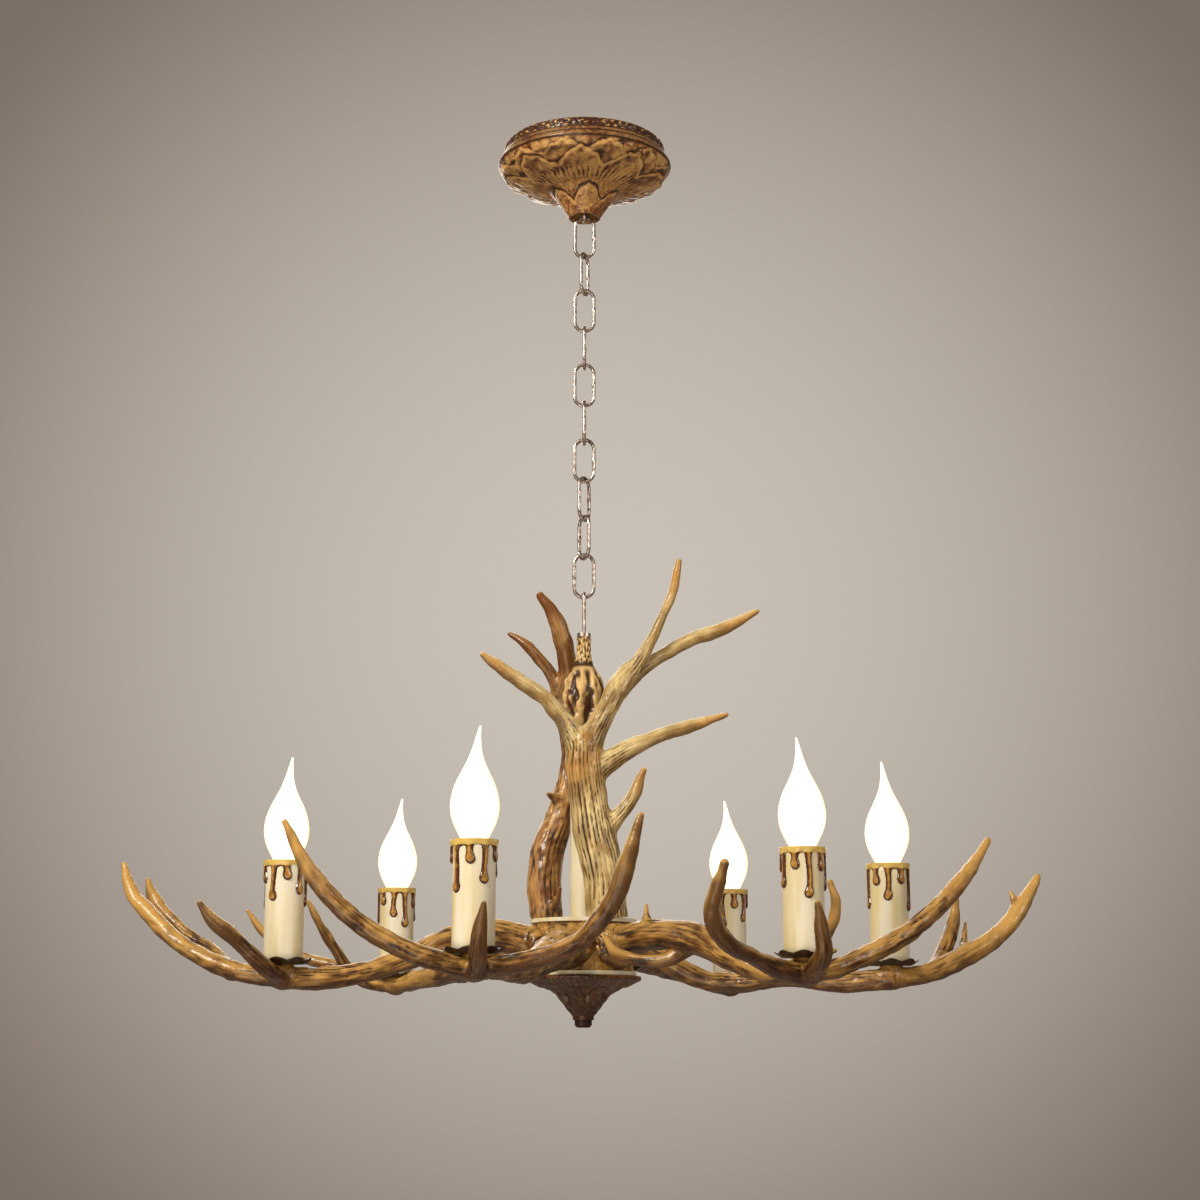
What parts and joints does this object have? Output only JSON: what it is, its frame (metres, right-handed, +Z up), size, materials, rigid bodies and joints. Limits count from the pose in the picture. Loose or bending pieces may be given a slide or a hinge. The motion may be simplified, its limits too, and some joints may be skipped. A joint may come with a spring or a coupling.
{
  "type": "antler chandelier",
  "caption": "Chain-hung chandelier of cast antlers with candle lamps in drip pans round a hub, below a carved ceiling canopy.",
  "frame": {"origin": "on the ceiling plane, on the canopy's axis, midway between the two ceiling screw holes", "axes": "+Z up along the chain, +X to the right and -Y to the front as the picture shows the lamp"},
  "size_m": [0.7477, 0.6224, 0.756],
  "materials": {
    "antler_resin": "satin",
    "canopy_resin": "satin",
    "hub_bronze": "satin",
    "ivory": "satin",
    "chain_metal": "satin",
    "zinc_steel": "satin",
    "dark_bronze": "satin",
    "brass": "satin",
    "bulb_glass": "satin",
    "lamp_plastic": "matte",
    "candle_wax": "satin"
  },
  "bodies": {
    "ceiling": {"ceiling_bracket": "zinc_steel", "canopy": "canopy_resin", "canopy_nipple": "zinc_steel", "canopy_lock_nut": "zinc_steel", "canopy_loop": "chain_metal", "terminal_block": "lamp_plastic"},
    "link_01": {"chain_link_01": "chain_metal"},
    "link_02": {"chain_link_02": "chain_metal"},
    "link_03": {"chain_link_03": "chain_metal"},
    "link_04": {"chain_link_04": "chain_metal"},
    "link_05": {"chain_link_05": "chain_metal"},
    "link_06": {"chain_link_06": "chain_metal"},
    "link_07": {"chain_link_07": "chain_metal"},
    "link_08": {"chain_link_08": "chain_metal"},
    "link_09": {"chain_link_09": "chain_metal"},
    "link_10": {"chain_link_10": "chain_metal"},
    "chandelier": {"stem_loop": "chain_metal", "crown_cap": "antler_resin", "centre_rod": "zinc_steel", "centre_tube": "ivory", "hub_top_plate": "ivory", "hub_drum": "antler_resin", "hub_bottom_plate": "ivory", "hub_bowl": "hub_bronze", "finial_nut": "brass", "hub_bolts": "zinc_steel", "wire_connectors": "lamp_plastic", "upright_antler_front": "antler_resin", "upright_antler_rear": "antler_resin", "antler_near_left": "antler_resin", "antler_near_right": "antler_resin", "antler_middle_right": "antler_resin", "antler_far_right": "antler_resin", "antler_far_left": "antler_resin", "antler_middle_left": "antler_resin", "drip_pans": "dark_bronze", "candle_nipples": "zinc_steel", "lamp_holders": "lamp_plastic"},
    "sleeve_near_left": {"candle_sleeve_near_left": "candle_wax"},
    "sleeve_near_right": {"candle_sleeve_near_right": "candle_wax"},
    "sleeve_middle_right": {"candle_sleeve_middle_right": "candle_wax"},
    "sleeve_far_right": {"candle_sleeve_far_right": "candle_wax"},
    "sleeve_far_left": {"candle_sleeve_far_left": "candle_wax"},
    "sleeve_middle_left": {"candle_sleeve_middle_left": "candle_wax"},
    "bulb_near_left": {"bulb_glass_near_left": "bulb_glass", "bulb_cap_near_left": "brass"},
    "bulb_near_right": {"bulb_glass_near_right": "bulb_glass", "bulb_cap_near_right": "brass"},
    "bulb_middle_right": {"bulb_glass_middle_right": "bulb_glass", "bulb_cap_middle_right": "brass"},
    "bulb_far_right": {"bulb_glass_far_right": "bulb_glass", "bulb_cap_far_right": "brass"},
    "bulb_far_left": {"bulb_glass_far_left": "bulb_glass", "bulb_cap_far_left": "brass"},
    "bulb_middle_left": {"bulb_glass_middle_left": "bulb_glass", "bulb_cap_middle_left": "brass"}
  },
  "joints": [
    {"name": "link_01_swing", "type": "hinge", "parent": "ceiling", "child": "link_01", "pos_m": [0, 0, -0.0675], "axis": [0, 1, 0], "range_deg": [-15, 15]},
    {"name": "link_02_swing", "type": "hinge", "parent": "link_01", "child": "link_02", "pos_m": [0, 0, -0.10095], "axis": [1, 0, 0], "range_deg": [-15, 15]},
    {"name": "link_03_swing", "type": "hinge", "parent": "link_02", "child": "link_03", "pos_m": [0, 0, -0.1344], "axis": [0.342, 0.9397, 0], "range_deg": [-15, 15]},
    {"name": "link_04_swing", "type": "hinge", "parent": "link_03", "child": "link_04", "pos_m": [0, 0, -0.16785], "axis": [1, 0, 0], "range_deg": [-15, 15]},
    {"name": "link_05_swing", "type": "hinge", "parent": "link_04", "child": "link_05", "pos_m": [0, 0, -0.2013], "axis": [0, 1, 0], "range_deg": [-15, 15]},
    {"name": "link_06_swing", "type": "hinge", "parent": "link_05", "child": "link_06", "pos_m": [0, 0, -0.23475], "axis": [1, 0, 0], "range_deg": [-15, 15]},
    {"name": "link_07_swing", "type": "hinge", "parent": "link_06", "child": "link_07", "pos_m": [0, 0, -0.2682], "axis": [0, 1, 0], "range_deg": [-15, 15]},
    {"name": "link_08_swing", "type": "hinge", "parent": "link_07", "child": "link_08", "pos_m": [0, 0, -0.30165], "axis": [1, 0, 0], "range_deg": [-15, 15]},
    {"name": "link_09_swing", "type": "hinge", "parent": "link_08", "child": "link_09", "pos_m": [0, 0, -0.3351], "axis": [0.5, 0.866, 0], "range_deg": [-15, 15]},
    {"name": "link_10_swing", "type": "hinge", "parent": "link_09", "child": "link_10", "pos_m": [0, 0, -0.36855], "axis": [-0.5, 0.866, 0], "range_deg": [-15, 15]},
    {"name": "chandelier_swing", "type": "hinge", "parent": "link_10", "child": "chandelier", "pos_m": [0, 0, -0.402], "axis": [-1, 0, 0], "range_deg": [-15, 15]},
    {"name": "sleeve_lift_near_left", "type": "slide", "parent": "chandelier", "child": "sleeve_near_left", "axis": [0, 0, 1], "range_m": [0, 0.04]},
    {"name": "sleeve_lift_near_right", "type": "slide", "parent": "chandelier", "child": "sleeve_near_right", "axis": [0, 0, 1], "range_m": [0, 0.04]},
    {"name": "sleeve_lift_middle_right", "type": "slide", "parent": "chandelier", "child": "sleeve_middle_right", "axis": [0, 0, 1], "range_m": [0, 0.04]},
    {"name": "sleeve_lift_far_right", "type": "slide", "parent": "chandelier", "child": "sleeve_far_right", "axis": [0, 0, 1], "range_m": [0, 0.04]},
    {"name": "sleeve_lift_far_left", "type": "slide", "parent": "chandelier", "child": "sleeve_far_left", "axis": [0, 0, 1], "range_m": [0, 0.04]},
    {"name": "sleeve_lift_middle_left", "type": "slide", "parent": "chandelier", "child": "sleeve_middle_left", "axis": [0, 0, 1], "range_m": [0, 0.04]},
    {"name": "bulb_unscrew_near_left", "type": "slide", "parent": "sleeve_near_left", "child": "bulb_near_left", "axis": [0, 0, 1], "range_m": [0, 0.04]},
    {"name": "bulb_unscrew_near_right", "type": "slide", "parent": "sleeve_near_right", "child": "bulb_near_right", "axis": [0, 0, 1], "range_m": [0, 0.04]},
    {"name": "bulb_unscrew_middle_right", "type": "slide", "parent": "sleeve_middle_right", "child": "bulb_middle_right", "axis": [0, 0, 1], "range_m": [0, 0.04]},
    {"name": "bulb_unscrew_far_right", "type": "slide", "parent": "sleeve_far_right", "child": "bulb_far_right", "axis": [0, 0, 1], "range_m": [0, 0.04]},
    {"name": "bulb_unscrew_far_left", "type": "slide", "parent": "sleeve_far_left", "child": "bulb_far_left", "axis": [0, 0, 1], "range_m": [0, 0.04]},
    {"name": "bulb_unscrew_middle_left", "type": "slide", "parent": "sleeve_middle_left", "child": "bulb_middle_left", "axis": [0, 0, 1], "range_m": [0, 0.04]}
  ]
}
